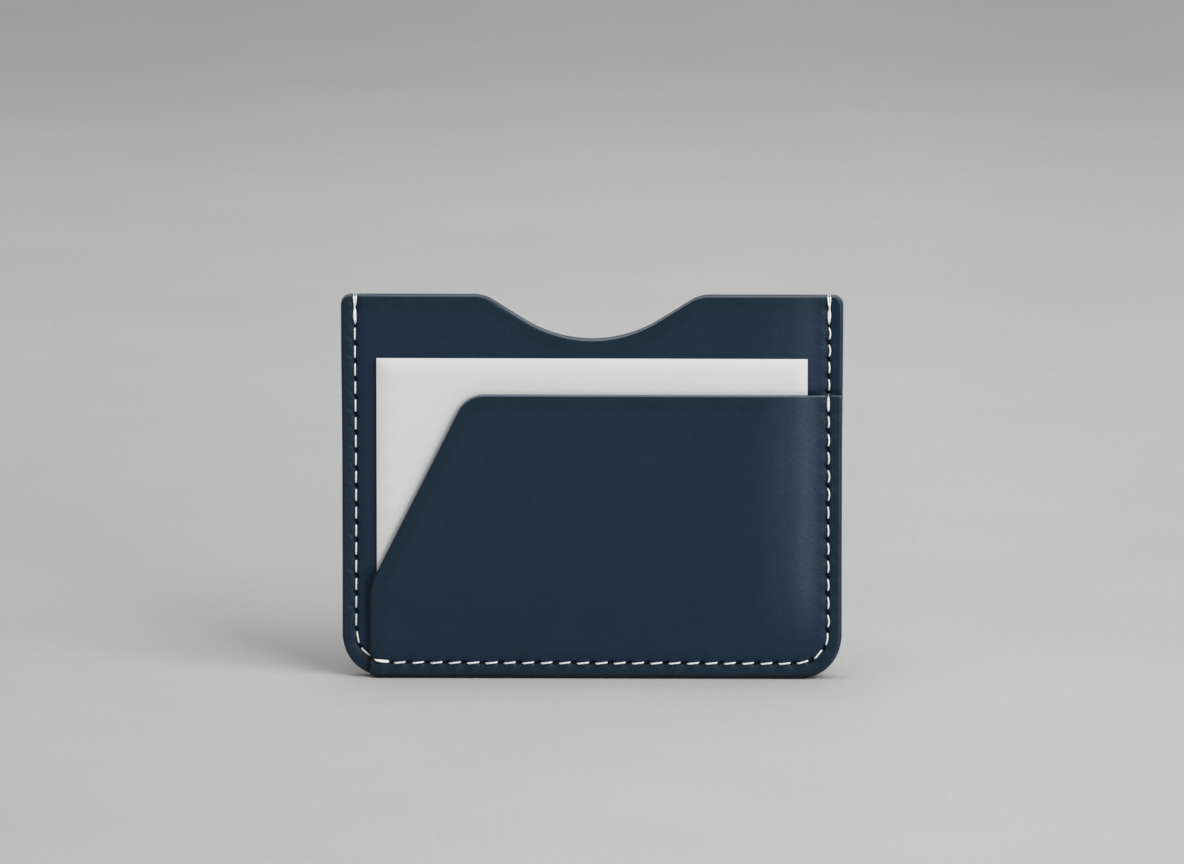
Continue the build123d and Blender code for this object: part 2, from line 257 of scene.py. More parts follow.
class Wire:
    """A node's output that works in sums and products, each of which adds its own Math node."""

    def __init__(self, tree, socket=None):
        self.tree = tree
        self.socket = socket

    def node(self, kind, settings=None, values=None, output=0):
        """Adds any other node: its settings first, then the values or links of its sockets."""
        made = self.tree.nodes.new(kind)
        for name, value in (settings or {}).items():
            setattr(made, name, value)
        for key, value in (values or {}).items():
            if isinstance(value, Wire):
                self.tree.links.new(value.socket, socket_of(made.inputs, key))
            else:
                socket_of(made.inputs, key).default_value = value
        return Wire(self.tree, socket_of(made.outputs, output))

    def math(self, operation, *values):
        """A Math node of the values."""
        return self.node("ShaderNodeMath", {"operation": operation}, dict(enumerate(values)))

    __add__, __radd__ = both_ways("ADD")
    __sub__, __rsub__ = both_ways("SUBTRACT")
    __mul__, __rmul__ = both_ways("MULTIPLY")
    __truediv__, __rtruediv__ = both_ways("DIVIDE")
    __pow__, __rpow__ = both_ways("POWER")
    __mod__, __rmod__ = both_ways("FLOORED_MODULO")
    __abs__, floor, sine = arithmetic("ABSOLUTE"), arithmetic("FLOOR"), arithmetic("SINE")
    least, most, above = arithmetic("MINIMUM"), arithmetic("MAXIMUM"), arithmetic("GREATER_THAN")

    def __neg__(self):
        return self * -1.0

    def ramp(self, start, end, low=0.0, high=1.0, kind="SMOOTHSTEP"):
        """Goes smoothly from low to high as the value goes from start to end."""
        return self.node(
            "ShaderNodeMapRange",
            {"interpolation_type": kind},
            {"Value": self, "From Min": start, "From Max": end, "To Min": low, "To Max": high},
        )

    def hill(self, width):
        """A bell that is 1 where the value is 0, and fades over the width."""
        return self.math("EXPONENT", -((self / width) * (self / width)))

    def between(self, low, high):
        """Where the value is the share, from low to high."""
        return low + (high - low) * self

    def swing(self, amount):
        """How far the value is from a half, times an amount."""
        return (self - 0.5) * amount

    def vector(self, operation, *values, output=0):
        """A Vector Math node of the values."""
        return self.node("ShaderNodeVectorMath", {"operation": operation}, dict(enumerate(values)), output)

    def scaled(self, vector, factor):
        """A vector or colour times a number."""
        return self.node("ShaderNodeVectorMath", {"operation": "SCALE"}, {0: vector, "Scale": factor})

    def part(self, axis):
        """One component of a vector."""
        return self.node("ShaderNodeSeparateXYZ", None, {0: self}, axis)

    def join(self, x, y, z):
        """A vector of three components."""
        return self.node("ShaderNodeCombineXYZ", None, {0: x, 1: y, 2: z})

    def mix_colour(self, first, second):
        """A mix of two colours, where the value is the second one's share."""
        return self.node(
            "ShaderNodeMix",
            {"data_type": "RGBA"},
            {"Factor_Float": self, "A_Color": colour_of(first), "B_Color": colour_of(second)},
            "Result_Color",
        )


def colour_of(value):
    """A colour with its alpha, or a wire as it is."""
    return value if isinstance(value, Wire) else (*value[:3], 1.0)


def noise(make, place, size, detail=2.0, roughness=0.5, stretch=None, fall=0.0):
    """Soft noise whose features are about the given size, in metres.

    They may be stretched along a line that falls to the right by an angle in degrees.
    """
    if stretch is not None:
        place = make.node(
            "ShaderNodeMapping",
            {"vector_type": "TEXTURE"},
            {"Vector": place, "Scale": stretch, "Rotation": (0.0, math.radians(fall), 0.0)},
        )
    return make.node(
        "ShaderNodeTexNoise",
        {"noise_dimensions": "3D"},
        {"Vector": place, "Scale": 1.0 / size, "Detail": detail, "Roughness": roughness},
        "Fac",
    )


# ------------------------------------------------------------------------------- geometry trees
INPUT_KINDS = (
    (bpy.types.Object, "NodeSocketObject"),
    (bpy.types.Material, "NodeSocketMaterial"),
    (tuple, "NodeSocketVector"),
    (int, "NodeSocketInt"),
    (float, "NodeSocketFloat"),
)


def geometry_tree(name, sizes):
    """A new tree with named inputs for its sizes, and those inputs as wires."""
    tree = bpy.data.node_groups.new(name, "GeometryNodeTree")
    for way in ("INPUT", "OUTPUT"):
        tree.interface.new_socket("Geometry", in_out=way, socket_type="NodeSocketGeometry")
    for label, value in sizes.items():
        kind = next(kind for sort, kind in INPUT_KINDS if isinstance(value, sort))
        tree.interface.new_socket(label, in_out="INPUT", socket_type=kind)
    source = tree.nodes.new("NodeGroupInput")
    return tree, {socket.name: Wire(tree, socket) for socket in source.outputs if socket.name}


def finish_tree(geometry, material):
    """Ends a tree: real geometry, with its material, goes out."""
    real = geometry.node("GeometryNodeRealizeInstances", None, {"Geometry": geometry})
    dressed = real.node("GeometryNodeSetMaterial", None, {"Geometry": real, "Material": material})
    outlet = geometry.tree.nodes.new("NodeGroupOutput")
    geometry.tree.links.new(dressed.socket, outlet.inputs[0])


def made_by_tree(name, start, tree, sizes):
    """A plain mesh piece from what a tree makes of the starting object, which is used up."""
    modifier = start.modifiers.new(tree.name, "NODES")
    modifier.node_group = tree
    for item in tree.interface.items_tree:
        if item.in_out == "INPUT" and item.name in sizes:
            modifier[item.identifier] = sizes[item.name]
    seen = start.evaluated_get(bpy.context.evaluated_depsgraph_get())
    mesh = bpy.data.meshes.new_from_object(seen)
    start.modifiers.remove(modifier)
    bpy.data.objects.remove(start)
    mesh.name = name
    return linked(name, mesh)


def linked(name, data):
    """A new object in the scene that holds the data."""
    made = bpy.data.objects.new(name, data)
    bpy.context.scene.collection.objects.link(made)
    return made


def kept_value(make, name, kind="FLOAT"):
    """A value that each point keeps under a name."""
    return make.node("GeometryNodeInputNamedAttribute", {"data_type": kind}, {"Name": name})


def stored(make, geometry, name, value, kind="FLOAT"):
    """Keeps a value under a name on each point of a geometry."""
    return make.node(
        "GeometryNodeStoreNamedAttribute",
        {"data_type": kind, "domain": "POINT"},
        {"Geometry": geometry, "Name": name, "Value": value},
    )


def sampled(make, geometry, value, number):
    """A vector of another geometry's point, by the point's number."""
    return make.node(
        "GeometryNodeSampleIndex",
        {"data_type": "FLOAT_VECTOR", "domain": "POINT", "clamp": True},
        {"Geometry": geometry, "Value": value, "Index": number},
    )


def moved(make, geometry, place):
    """A geometry with each point put at its new place."""
    return make.node("GeometryNodeSetPosition", None, {"Geometry": geometry, "Position": place})


def holes_of(make, given):
    """The guide's needle holes, and the slit's direction at each."""
    holes = make.node("GeometryNodeObjectInfo", None, {"Object": given["Holes"]}, "Geometry")
    return holes, kept_value(make, "slit", "FLOAT_VECTOR")


def chance_of(make, number):
    """A fixed random share for each whole number."""
    return make.node("ShaderNodeTexWhiteNoise", {"noise_dimensions": "1D"}, {"W": number}, "Value")


def common_sizes(settings, material):
    """The inputs that every tree has."""
    case = settings.case
    return {
        "Seam half width": SeamLine(settings).half,
        "Case height": case.height,
        "Case depth": case.depth,
        "Draw-in": case.draw_in,
        "Material": material,
    }


# ------------------------------------------------------------------------------- outlines
def turned_by(vector, turn):
    """A flat vector turned anticlockwise by an angle."""
    across, along = math.cos(turn), math.sin(turn)
    return Vector((vector.x * across - vector.y * along, vector.x * along + vector.y * across))


def rounded(corners, step):
    """Points round a closed outline whose corners are (x, z, radius), and the inward direction at each."""
    legs = []
    for number, (x, z, radius) in enumerate(corners):
        here = Vector((x, z))
        arriving = (here - Vector(corners[number - 1][:2])).normalized()
        leaving = (Vector(corners[(number + 1) % len(corners)][:2]) - here).normalized()
        turn = math.atan2(arriving.x * leaving.y - arriving.y * leaving.x, arriving.dot(leaving))
        reach = radius * math.tan(abs(turn) / 2)
        legs.append((here - arriving * reach, arriving, turn, radius, here + leaving * reach, leaving))
    points = []
    inward = []
    for number, (start, arriving, turn, radius, end, leaving) in enumerate(legs):
        side = math.copysign(1.0, turn)
        steps = max(3, math.ceil(radius * abs(turn) / step))
        left = Vector((-arriving.y, arriving.x))
        centre = start + left * radius * side
        for share in range(steps + 1):
            spoke = turned_by(left, turn * share / steps)
            points.append(centre - spoke * radius * side)
            inward.append(spoke)
        run = legs[(number + 1) % len(legs)][0] - end
        straight = max(1, math.ceil(run.length / step))
        for share in range(1, straight):
            points.append(end + run * share / straight)
            inward.append(Vector((-leaving.y, leaving.x)))
    return np.array(points), np.array(inward)


def main_corners(settings):
    """Corners of the outline that the back and centre panels share."""
    case = settings.case
    half = case.width / 2
    rise = case.notch_depth + case.notch_bowl * (1 / math.cos(case.notch_slope) - 1)
    reach = rise / math.tan(case.notch_slope)
    return [
        (-half, 0.0, case.bottom_corner),
        (half, 0.0, case.bottom_corner),
        (half, case.height, case.top_corner),
        (reach, case.height, case.notch_shoulder),
        (0.0, case.height - rise, case.notch_bowl),
        (-reach, case.height, case.notch_shoulder),
        (-half, case.height, case.top_corner),
    ]


def knee_height(pocket):
    """Where the slanted edge meets the upright one."""
    return pocket.height - pocket.slant_width / math.tan(pocket.slant)


def pocket_corners(settings):
    """Corners of the front pocket: square at the right, slanted and upright at the left.

    Its left edge ends on the case's round bottom corner, and the pocket follows that corner from there.
    """
    case, pocket = settings.case, settings.pocket
    half = case.width / 2
    foot_turn = math.asin((case.bottom_corner - half - pocket.left) / case.bottom_corner)
    foot_z = case.bottom_corner * (1 - math.cos(foot_turn))
    toe_x = pocket.left + case.bottom_corner * math.tan(foot_turn / 2) * math.cos(foot_turn)
    return [
        (pocket.left, foot_z, pocket.lip),
        (toe_x, 0.0, case.bottom_corner * 0.65),
        (half, 0.0, case.bottom_corner),
        (half, pocket.height, pocket.lip),
        (pocket.left + pocket.slant_width, pocket.height, pocket.corner),
        (pocket.left, knee_height(pocket), pocket.knee),
    ]


def reach_and_inside(points, outline):
    """Each point's distance to a closed outline, and whether it lies inside."""
    nearest = np.full(len(points), np.inf)
    inside = np.zeros(len(points), bool)
    for start, end in zip(outline, np.roll(outline, -1, axis=0)):
        run = end - start
        share = np.clip((points - start) @ run / (run @ run), 0, 1)
        gap = points - start - share[:, None] * run
        nearest = np.minimum(nearest, np.hypot(gap[:, 0], gap[:, 1]))
        if start[1] != end[1]:
            crosses = (start[1] > points[:, 1]) != (end[1] > points[:, 1])
            inside ^= crosses & (points[:, 0] < start[0] + (points[:, 1] - start[1]) * run[0] / run[1])
    return nearest, inside


# ------------------------------------------------------------------------------- the seam
class SeamLine:
    """The seam's line down the left side, along the bottom and up the right side, with its holes."""

    def __init__(self, settings):
        case, pocket, seam = settings.case, settings.pocket, settings.seam
        self.half = case.width / 2 - seam.side_margin
        self.bottom = seam.bottom_margin
        self.top = case.height - seam.top_drop
        self.radius = case.bottom_corner - seam.side_margin
        self.side = self.top - self.bottom - self.radius
        self.corner = self.radius * math.pi / 2
        self.length = 2 * (self.side + self.corner) + 2 * (self.half - self.radius)
        reach = pocket.left + seam.lower_inset + self.half
        left_tack = self.side + self.radius * math.acos(1 - reach / self.radius)
        right_tack = self.length - (self.top - pocket.height - seam.upper_gap)
        self.runs = [
            *np.linspace(0, left_tack, seam.left_stitches, endpoint=False),
            *np.linspace(left_tack, right_tack, seam.pocket_stitches, endpoint=False),
            *np.linspace(right_tack, self.length, seam.right_stitches + 1),
        ]
        self.slant = seam.slit_slant
        self.stitches = len(self.runs) - 1
        self.lower_tack = seam.left_stitches
        self.upper_tack = seam.left_stitches + seam.pocket_stitches - 1

    def at(self, run):
        """The place and the direction of the seam a length of run along it."""
        if run > self.length / 2:
            place, way = self.at(self.length - run)
            return Vector((-place.x, place.y)), Vector((way.x, -way.y))
        if run <= self.side:
            return Vector((-self.half, self.top - run)), Vector((0, -1))
        if run <= self.side + self.corner:
            turn = (run - self.side) / self.radius
            centre = Vector((self.radius - self.half, self.bottom + self.radius))
            place = centre - self.radius * Vector((math.cos(turn), math.sin(turn)))
            return place, Vector((math.sin(turn), -math.cos(turn)))
        return Vector((run - self.side - self.corner + self.radius - self.half, self.bottom)), Vector((1, 0))

    def holes(self):
        """Each hole's place, and the direction of its slit towards the outside of the case."""
        found = []
        for run in self.runs:
            place, way = self.at(run)
            turned = math.atan2(way.y, way.x) - self.slant
            found.append((place, Vector((math.cos(turned), math.sin(turned)))))
        return found

    def guide(self):
        """A mesh of the holes' places that holds each slit's direction, for the trees to read."""
        mesh = bpy.data.meshes.new("needle_holes")
        mesh.from_pydata([(place.x, 0, place.y) for place, _ in self.holes()], [], [])
        slits = mesh.attributes.new("slit", "FLOAT_VECTOR", "POINT")
        slits.data.foreach_set("vector", [part for _, slit in self.holes() for part in (slit.x, 0, slit.y)])
        return linked("needle_holes", mesh)

    def outside(self, points):
        """Each point's distance outside the seam line, negative inside it."""
        across = np.abs(points[:, 0]) - (self.half - self.radius)
        down = self.bottom + self.radius - points[:, 1]
        corner = np.hypot(np.maximum(across, 0), np.maximum(down, 0))
        return corner + np.minimum(np.maximum(across, down), 0) - self.radius


# ------------------------------------------------------------------------------- flat blanks
def staggered(low, high, spacing):
    """Points spread evenly over a box, every other row moved by half a space."""
    rows = np.arange(low[1], high[1], spacing * ROW_SPACING)
    across = np.arange(low[0], high[0], spacing)
    return np.array([(x + spacing / 2 * (row % 2), z) for row, z in enumerate(rows) for x in across])


def around_holes(holes):
    """Points in slanted ovals round each hole, so that the leather can dip there."""
    points = []
    for place, slit in holes:
        across = Vector((-slit.y, slit.x))
        points.append(place)
        for number, ring in enumerate(HOLE_RINGS):
            for share in range(POINTS_ROUND_A_HOLE):
                turn = 2 * math.pi * (share + number % 2 / 2) / POINTS_ROUND_A_HOLE
                aside = across * ring * OVAL_WIDTH * math.sin(turn)
                points.append(place + slit * ring * math.cos(turn) + aside)
    return np.array(points)


def spread_inside(outline, margin, zones, step, holes):
    """Points inside an outline, spaced by zone and in ovals round the holes, with their distances to it."""
    points = []
    depths = []
    for spacing, test in zones:
        spread = staggered(outline.min(0), outline.max(0), spacing)
        reach, inside = reach_and_inside(spread, outline)
        keep = inside & (reach > margin + spacing * 0.55) & test(spread)
        for place, _ in holes:
            keep &= np.hypot(*(spread - np.array(place)).T) > HOLE_CLEARANCE
        points.append(spread[keep])
        depths.append(reach[keep])
    if holes:
        ovals = around_holes(holes)
        reach, inside = reach_and_inside(ovals, outline)
        keep = inside & (reach > margin + step * 0.3)
        points.append(ovals[keep])
        depths.append(reach[keep])
    return np.concatenate(points), np.concatenate(depths)


def filled(name, plan, count):
    """Faces that fill a border, the plan's first points, and use the points inside it."""
    points, _, faces, origin, _, _ = delaunay_2d_cdt(
        [Vector(point) for point in plan], [], [list(range(count))], 1, 1e-7, True
    )
    if len(points) != len(plan):
        raise RuntimeError(f"{name}: the blank's points don't all stay apart")
    middles = np.array([np.mean([points[i] for i in face], axis=0) for face in faces])
    within = reach_and_inside(middles, plan[:count])[1]
    return [[origin[i][0] for i in face] for face, kept in zip(faces, within) if kept]


def turned_left(plan, face):
    """Whether a face's corners run anticlockwise as seen from the front."""
    a, b, c = (plan[i] for i in face[:3])
    return (b[0] - a[0]) * (c[1] - a[1]) - (b[1] - a[1]) * (c[0] - a[0]) > 0


def store(mesh, name, values):
    """Puts one number for each point into a mesh."""
    mesh.attributes.new(name, "FLOAT", "POINT").data.foreach_set("value", values.astype(np.float32))


def flat_blank(name, corners, rings, zones, step, holes=()):
    """A flat closed blank in the XZ plane: rings along its edge, and inner points spaced by zone.

    Each zone is (spacing, test), where test says which points belong to it. Each point has face, 0 on the
    low side and 1 on the high side, edge_distance, its distance to the cut edge, and edge_up and edge_right,
    which way that edge faces.
    """
    outline, inward = rounded(corners, step)
    count = len(outline)
    last = (len(rings) - 1) * count
    inner, depths = spread_inside(outline, rings[-1], zones, step, holes)
    plan = np.concatenate([*(outline + inward * ring for ring in rings), inner])
    depths = np.concatenate([np.repeat(rings, count), depths])
    total = len(plan)

    top = [[last + i for i in face] for face in filled(name, plan[last:], count)]
    following = [(i + 1) % count for i in range(count)]
    for start in range(0, last, count):
        top += [[start + i, start + j, start + count + j, start + count + i] for i, j in enumerate(following)]
    top = [face if turned_left(plan, face) else face[::-1] for face in top]
    wall = [[i, j, j + total, i + total] for i, j in enumerate(following)]
    low = [face[::-1] for face in top]
    high = [[i + total for i in face] for face in top]
    mesh = bpy.data.meshes.new(name)
    mesh.from_pydata([(x, 0, z) for x, z in plan] * 2, [], low + high + wall)

    edge_faces = np.zeros((total, 2))
    edge_faces[: last + count] = np.tile(-inward, (len(rings), 1))
    store(mesh, "face", np.repeat([0.0, 1.0], total))
    store(mesh, "edge_distance", np.tile(depths, 2))
    store(mesh, "edge_up", np.tile(edge_faces[:, 1], 2))
    store(mesh, "edge_right", np.tile(edge_faces[:, 0], 2))
    return mesh


def smooth_shaded(piece, degrees):
    """Shades a piece smoothly except at edges sharper than the angle."""
    piece.data.shade_smooth()
    piece.data.set_sharp_from_angle(angle=math.radians(degrees))
    return piece


# ------------------------------------------------------------------------------- forming the leather
def outside_frame(x, z, given):
    """Distance outside the seam's open-topped, round-cornered frame, negative inside it."""
    radius = given["Seam radius"]
    across = x - (given["Seam half width"] - radius)
    down = (given["Seam bottom"] + radius) - z
    corner = across.most(0.0) * across.most(0.0) + down.most(0.0) * down.most(0.0)
    return corner**0.5 + across.most(down).least(0.0) - radius


def edge_drop(reach, radius):
    """How far a rounded edge falls below its face."""
    short = (radius - reach).most(0.0)
    return radius - (radius * radius - short * short).most(0.0) ** 0.5


def narrowing(z, given):
    """How much narrower the case is at a height, where the sewing has drawn its sides in."""
    height = given["Case height"]
    waist = z.ramp(height * 0.94, height * 0.56) * z.ramp(height * 0.10, height * 0.34, 0.75, 1.0)
    return 1 - waist * given["Draw-in"] / given["Seam half width"]


def raised_faces(given, x, z):
    """Heights of a layer's low and high faces over what it covers, and how far the leather is stretched."""
    # A layer whose left is free isn't sewn there, so it slopes only at its right and its bottom.
    folded = given["Free left"].between(abs(x), x)
    inward = -outside_frame(folded, z, given)
    low = given["Low height"] + given["Rise"] * inward.ramp(given["Low foot"], given["Low shoulder"])
    from_side = given["Seam half width"] - folded
    shoulder = given["High shoulder"]
    slope = from_side.ramp(given["High foot"], shoulder) * 0.82
    slope = slope + from_side.ramp(shoulder * 0.4, shoulder * 2.2) * 0.18
    climb = (z - given["Seam bottom"]).ramp(given["High foot"], given["Bottom shoulder"])
    high = given["High height"] + given["Rise"] * slope * climb
    stretch = 4 * slope * (1 - slope) * climb * given["Rise"] / given["Full rise"]
    return low, high, stretch


def pressed_by_stitches(make, given, place, from_seam):
    """How deep the stitches press the leather, with the pits at the holes and the puckers outside them."""
    holes, slits = holes_of(make, given)
    nearest = make.node(
        "GeometryNodeSampleNearest", {"domain": "POINT"}, {"Geometry": holes, "Sample Position": place}
    )
    slit = sampled(make, holes, slits, nearest)
    way = make.join(-slit.part("Z"), 0.0, slit.part("X"))
    gap = make.vector("SUBTRACT", place, sampled(make, holes, place, nearest))
    out = make.vector("DOT_PRODUCT", gap, slit, output="Value")
    along = make.vector("DOT_PRODUCT", gap, way, output="Value")
    away = (out * out + along * along) ** 0.5
    oval = ((out / given["Hole width"]) ** 2.0 + (along / given["Hole length"]) ** 2.0) ** 0.5

    valley = from_seam.hill(given["Groove width"]) * given["Groove depth"]
    pinch = away.hill(given["Pitch"] * 0.36) * given["Groove depth"] * 0.6
    pit = oval.ramp(1.0, 0.45) * given["Hole depth"]
    fold_run = out * FOLD_OUT - along * FOLD_ACROSS
    fold_side = out * FOLD_ACROSS + along * FOLD_OUT
    fold_reach = fold_run.ramp(0.3 * MM, 0.9 * MM) * fold_run.ramp(2.6 * MM, 1.2 * MM)
    bell = fold_side.hill(given["Fold width"])
    chance = chance_of(make, nearest + 0.0)
    pucker = (fold_side / given["Fold width"]) * bell * fold_reach * chance
    pressed = valley + pinch + pit - pucker * given["Fold depth"]
    # The second mark is where the holes get painted shade, the third where the puckers get a painted
    # highlight.
    return pressed, oval.ramp(1.25, 0.6), bell * fold_reach * chance


def painted_shadow_mask(given, x, z):
    """Where painted shadow darkens the centre panel: beside the pocket's free edge, beside the card and just
    over the mouth, where their shadows fall.
    """
    edge, mouth, knee = given["Cover left"], given["Cover top"], given["Knee"]
    by_pocket = x.ramp(edge - 1.4 * MM, edge) * z.ramp(knee + 5 * MM, knee)
    by_card = x.ramp(given["Card left"] - 0.7 * MM, given["Card left"])
    by_card = by_card * z.ramp(given["Card top"], given["Card top"] - MM) * x.ramp(0.0, -MM) * 0.8
    by_mouth = z.ramp(mouth + 1.3 * MM, mouth + 0.2 * MM) * x.ramp(0.0, MM)
    return by_pocket.most(by_card).most(by_mouth) * given["Covered"]


def forming_tree(sizes):
    """The rule that forms a flat blank: raised over the pocket, rounded at its edges, pressed at the seam."""
    tree, given = geometry_tree("Formed leather", sizes)
    make = Wire(tree)
    place = make.node("GeometryNodeInputPosition")
    x, z = place.part("X"), place.part("Z")
    reach = kept_value(make, "edge_distance")
    low, high, stretch = raised_faces(given, x, z)

    # What the pocket covers is neither pressed nor rounded as much as bare leather.
    covered = x.ramp(given["Cover left"], given["Cover left"] + 0.4 * MM)
    covered = covered * z.ramp(given["Cover top"], given["Cover top"] - 0.4 * MM)
    bare = 1 - covered * given["Covered"]
    low = low + edge_drop(reach, given["Low rounding"])
    worn_foot = z.ramp(2.2 * MM, 1.0 * MM, 1.0, 1.9)
    rounding = given["High rounding"] * bare.ramp(0.0, 1.0, 0.25, 1.0, "LINEAR") * worn_foot
    high = high - edge_drop(reach, rounding)

    pressed, pit, fold = pressed_by_stitches(make, given, place, outside_frame(abs(x), z, given))
    soft = noise(make, make.vector("ADD", place, given["Drift"]), SLACK_SIZE, 2.0, 0.45)
    slack = soft.swing(2) * given["Slackness"] * reach.ramp(0.0, 0.6 * MM)
    high = high - (pressed * bare - slack * bare) * given["High shown"]
    low = low + (pressed - slack) * given["Low shown"]

    height = kept_value(make, "face").between(low, high)
    narrow = narrowing(z, given) * (1 - given["Trim"] / given["Seam half width"])
    shaped = moved(make, given["Geometry"], make.join(x * narrow, given["Case depth"] / 2 - height, z))
    # The colour reads these marks: the stretch, the holes' painted shade, the puckers' painted highlight and
    # the painted shadow beside the pocket and card.
    marks = {"stretch": stretch, "pit": pit, "fold": fold, "tuck": painted_shadow_mask(given, x, z)}
    for name, value in marks.items():
        shaped = stored(make, shaped, name, value)
    finish_tree(shaped, given["Material"])
    return tree


def layer_faces(case):
    """Heights of each layer's low and high faces along the seam, and how far it rises inside it."""
    ply = case.leather + case.lining
    pocket_rise = case.depth - 3 * ply
    return {
        "back_panel": (0.0, case.leather, 0.0),
        "back_lining": (case.leather, ply, 0.0),
        "centre_lining": (ply, ply + case.lining, case.main_pocket_ease),
        "centre_panel": (ply + case.lining, 2 * ply, case.main_pocket_ease),
        "pocket_lining": (2 * ply, 2 * ply + case.lining, pocket_rise),
        "pocket_panel": (2 * ply + case.lining, 3 * ply, pocket_rise),
    }


def make_layer(name, blank, settings, material, guide, drift):
    """One leather or lining layer, formed from its flat blank."""
    case, seam, pocket = settings.case, settings.seam, settings.pocket
    seam_line = SeamLine(settings)
    layers = layer_faces(case)
    low, high, rise = layers[name]
    outer = name.endswith("panel")
    back = name.startswith("back")
    front = outer and not back
    rounding = case.edge_rounding if outer else case.lining_rounding
    rounded_below = outer == back
    sizes = common_sizes(settings, material) | {
        "Low height": low,
        "High height": high,
        "Rise": rise,
        "Full rise": layers["pocket_panel"][2],
        "Low foot": 1.0 * MM,
        "Low shoulder": 3.9 * MM,
        "High foot": 0.8 * MM if front else 1.0 * MM,
        "High shoulder": 7.4 * MM if front else 3.9 * MM,
        "Bottom shoulder": 18.0 * MM if front else 3.9 * MM,
        "Low rounding": rounding if rounded_below else 0.0,
        "High rounding": 0.0 if rounded_below else rounding,
        "Low shown": float(outer and back),
        "High shown": float(front),
        "Free left": float(name.startswith("pocket")),
        "Covered": float(name == "centre_panel"),
        "Cover left": pocket.left - 0.2 * MM,
        "Cover top": pocket.height + 0.2 * MM,
        "Knee": knee_height(pocket),
        "Card left": card_low.x,
        "Card top": card_high.z,
        "Seam bottom": seam_line.bottom,
        "Seam radius": seam_line.radius,
        "Trim": 0.0 if back else 0.10 * MM,
        "Groove depth": seam.groove_depth,
        "Groove width": 0.75 * MM,
        "Hole depth": seam.hole_depth,
        "Hole width": 0.27 * MM,
        "Hole length": 0.85 * MM,
        "Fold depth": 0.16 * MM,
        "Fold width": 0.30 * MM,
        "Pitch": seam_line.length / seam_line.stitches,
        "Slackness": case.slackness,
        "Drift": drift,
        "Holes": guide,
    }
    start = linked(name + "_blank", blank.copy())
    piece = made_by_tree(name + "_formed", start, forming_tree(sizes), sizes)
    smooth_shaded(piece, 40)
    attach(piece, "case")
    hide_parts(name)


def panel_blanks(settings):
    """The flat blanks of the main panels and of the pocket, fine near the seam and its holes."""
    seam_line = SeamLine(settings)

    def band(near, far):
        return lambda points: (seam_line.outside(points) <= -near) & (seam_line.outside(points) > -far)

    zones = [
        (0.36 * MM, band(-math.inf, SEWN_BAND)),
        (0.85 * MM, band(SEWN_BAND, SLOPED_BAND)),
        (1.5 * MM, band(SLOPED_BAND, math.inf)),
    ]
    holes = seam_line.holes()
    outlines = {"main_blank": main_corners(settings), "pocket_blank": pocket_corners(settings)}
    return [
        bpy.data.meshes.get(name) or flat_blank(name, corners, PANEL_RINGS, zones, PANEL_STEP, holes)
        for name, corners in outlines.items()
    ]


def make_layers(settings, material, drifts):
    """The layers that are named, each with the drift of its own soft unevenness."""
    main, pocket = panel_blanks(settings)
    guide = SeamLine(settings).guide()
    for name, drift in drifts.items():
        make_layer(name, pocket if name.startswith("pocket") else main, settings, material, guide, drift)
    bpy.data.objects.remove(guide)


# ------------------------------------------------------------------------------- thread
def thread_tube(make, line, given):
    """Wraps a thread round a line, and keeps where round and how far along it each point is."""
    along = make.node("GeometryNodeSplineParameter", output="Length")
    marked = stored(make, line, "thread_along", along)
    circle = make.node(
        "GeometryNodeCurvePrimitiveCircle",
        {"mode": "RADIUS"},
        {"Resolution": THREAD_SIDES, "Radius": given["Thread radius"]},
    )
    unit = make.vector("NORMALIZE", make.node("GeometryNodeInputPosition"))
    section = stored(make, circle, "thread_around", unit, "FLOAT_VECTOR")
    tube = make.node(
        "GeometryNodeCurveToMesh", None, {"Curve": marked, "Profile Curve": section, "Fill Caps": True}
    )
    finish_tree(make.node("GeometryNodeSetShadeSmooth", None, {"Geometry": tube}), given["Material"])


def drawn_in(make, given, place, y):
    """A place on the thread, moved in with the sides that the sewing has drawn in."""
    return make.join(place.part("X") * narrowing(place.part("Z"), given), y, place.part("Z"))


